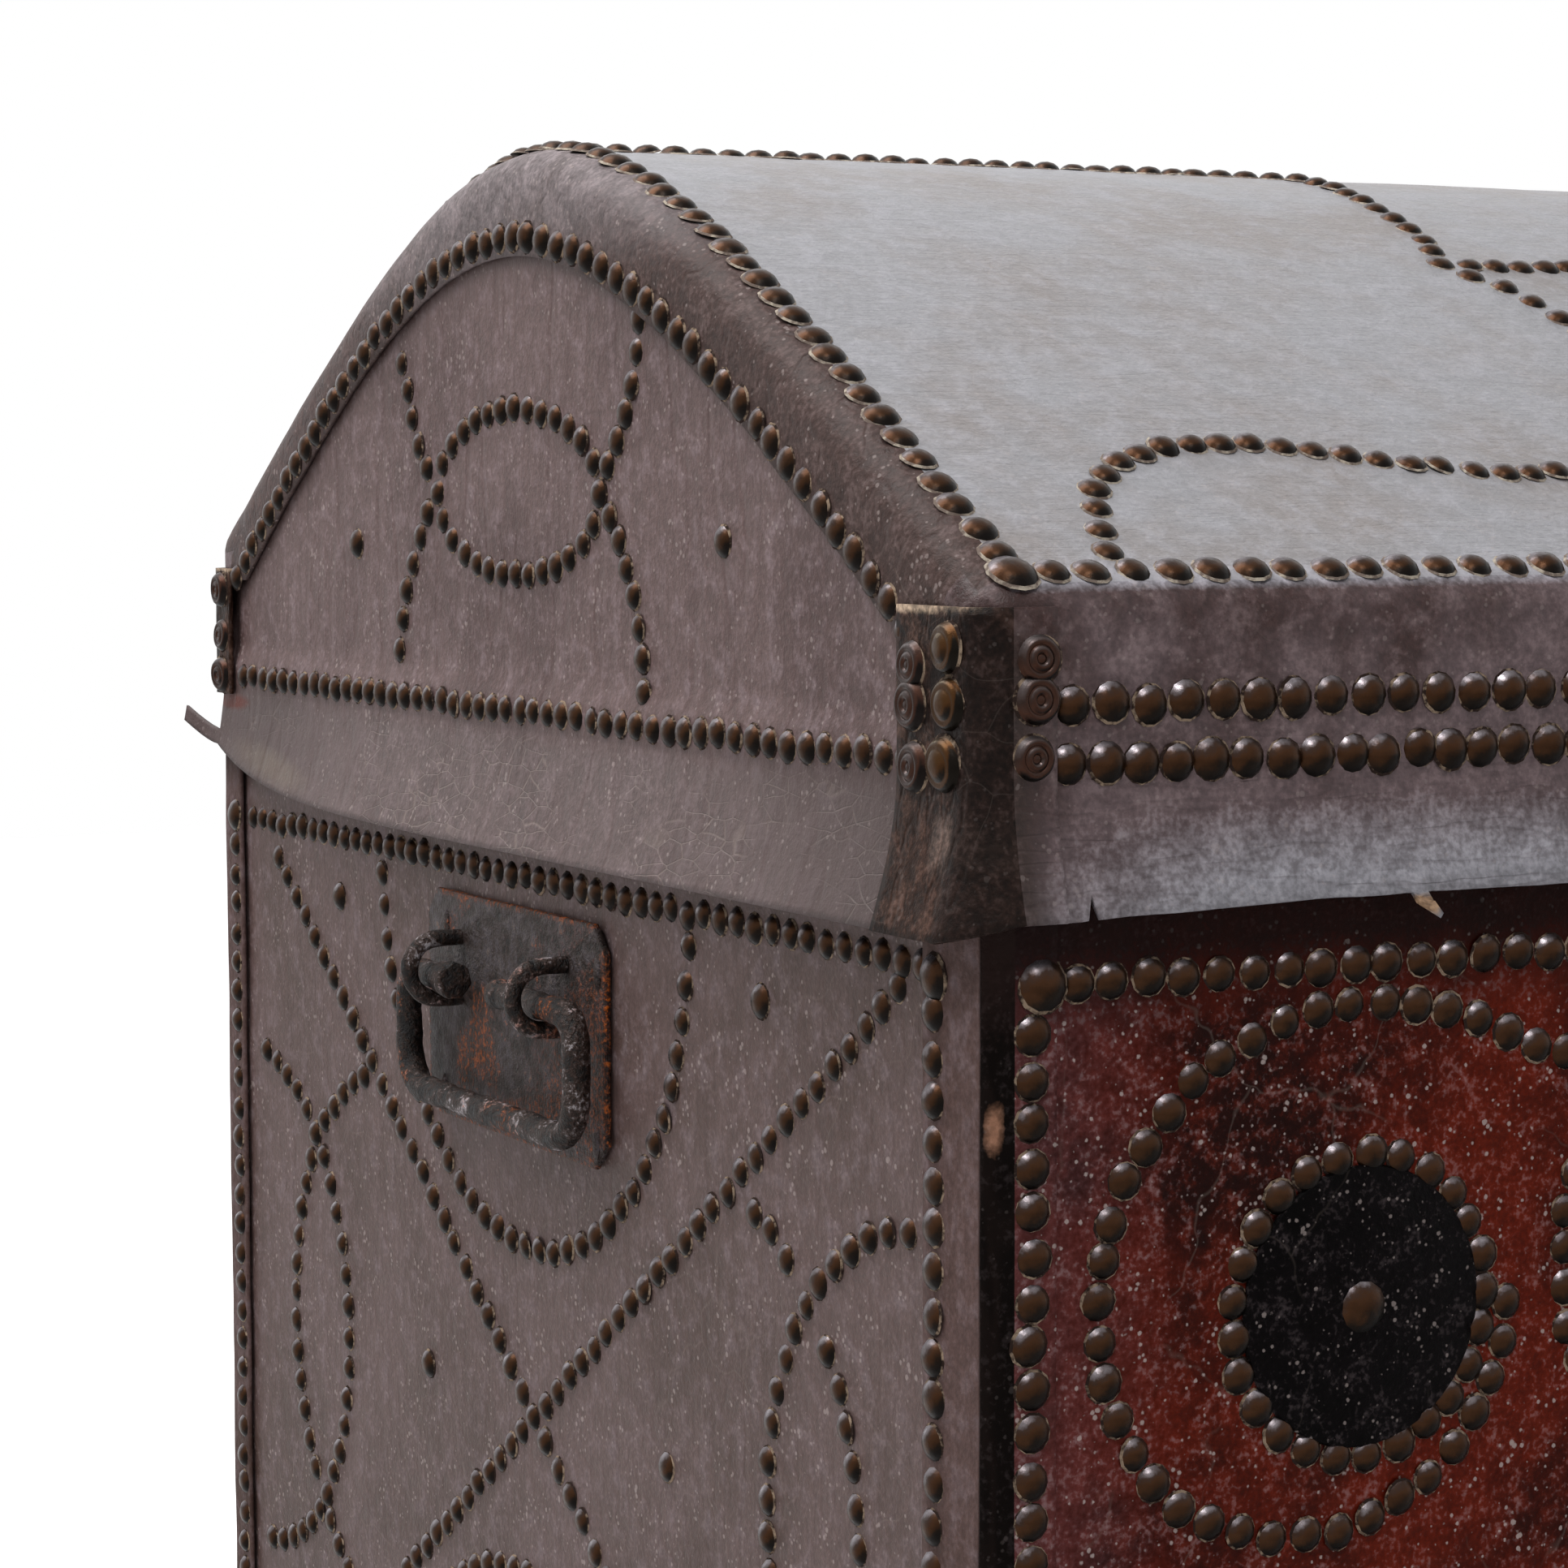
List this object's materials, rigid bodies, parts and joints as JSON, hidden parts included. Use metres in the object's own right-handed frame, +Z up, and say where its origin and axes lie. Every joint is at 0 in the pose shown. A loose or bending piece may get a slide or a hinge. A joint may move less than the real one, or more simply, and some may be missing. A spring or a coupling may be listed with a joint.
{
  "type": "dome-topped leather trunk",
  "caption": "Dome-topped travelling trunk of boards and staves covered in nailed leather, with a hinged lid, swinging iron carrying handles and a chest lock.",
  "frame": {"origin": "centre of the underside", "axes": "+X along the trunk, -Y towards its front, +Z up"},
  "size_m": [1.122, 0.5816, 0.5795],
  "materials": {
    "pine": "bare, aged",
    "brown_leather": "worn, dusty brown-grey",
    "dark_leather": "worn, nearly black brown",
    "front_leather": "worn oxblood red",
    "forged_iron": "forged, rusty",
    "nail_brass": "darkened with age"
  },
  "bodies": {
    "base": {"bottom_board": "pine", "front_board": "pine", "back_board": "pine", "left_end_board": "pine", "right_end_board": "pine", "front_leather": "front_leather", "back_leather": "brown_leather", "left_end_leather": "brown_leather", "right_end_leather": "brown_leather", "front_left_corner_strip": "dark_leather", "front_right_corner_strip": "dark_leather", "rear_left_corner_strip": "dark_leather", "rear_right_corner_strip": "dark_leather", "left_handle_plate": "forged_iron", "right_handle_plate": "forged_iron", "left_front_handle_staple": "forged_iron", "left_rear_handle_staple": "forged_iron", "right_front_handle_staple": "forged_iron", "right_rear_handle_staple": "forged_iron", "lock_case": "forged_iron", "lock_escutcheon": "forged_iron", "left_hinge_lower_strap": "forged_iron", "right_hinge_lower_strap": "forged_iron", "left_hinge_pin": "forged_iron", "right_hinge_pin": "forged_iron"},
    "lid": {"lid_front_rail": "pine", "lid_back_rail": "pine", "left_gable_board": "pine", "right_gable_board": "pine", "lid_stave_1": "pine", "lid_stave_2": "pine", "lid_stave_3": "pine", "lid_stave_4": "pine", "lid_stave_5": "pine", "lid_stave_6": "pine", "lid_stave_7": "pine", "lid_stave_8": "pine", "lid_cover_leather": "brown_leather", "left_gable_leather": "brown_leather", "right_gable_leather": "brown_leather", "lid_back_leather": "brown_leather", "front_skirt": "brown_leather", "left_skirt": "brown_leather", "right_skirt": "brown_leather", "lid_front_left_corner_piece": "dark_leather", "lid_front_right_corner_piece": "dark_leather", "lid_rear_left_corner_piece": "dark_leather", "lid_rear_right_corner_piece": "dark_leather", "left_hinge_upper_strap": "forged_iron", "right_hinge_upper_strap": "forged_iron", "lock_link_plate": "forged_iron"},
    "left_handle": {"left_handle_bail": "forged_iron"},
    "right_handle": {"right_handle_bail": "forged_iron"},
    "lock_bolt": {"lock_bolt": "forged_iron"}
  },
  "joints": [
    {"name": "lid_hinge", "type": "hinge", "parent": "base", "child": "lid", "pos_m": [0, 0.2853, 0.38415], "axis": [-1, 0, 0], "range_deg": [0, 100]},
    {"name": "left_handle_swing", "type": "hinge", "parent": "base", "child": "left_handle", "pos_m": [-0.5485, 0.009, 0.31955], "axis": [0, 1, 0], "range_deg": [-4, 160]},
    {"name": "right_handle_swing", "type": "hinge", "parent": "base", "child": "right_handle", "pos_m": [0.5485, 0.009, 0.31955], "axis": [0, -1, 0], "range_deg": [-4, 160]},
    {"name": "lock_bolt_slide", "type": "slide", "parent": "base", "child": "lock_bolt", "axis": [1, 0, 0], "range_m": [0, 0.012]}
  ]
}
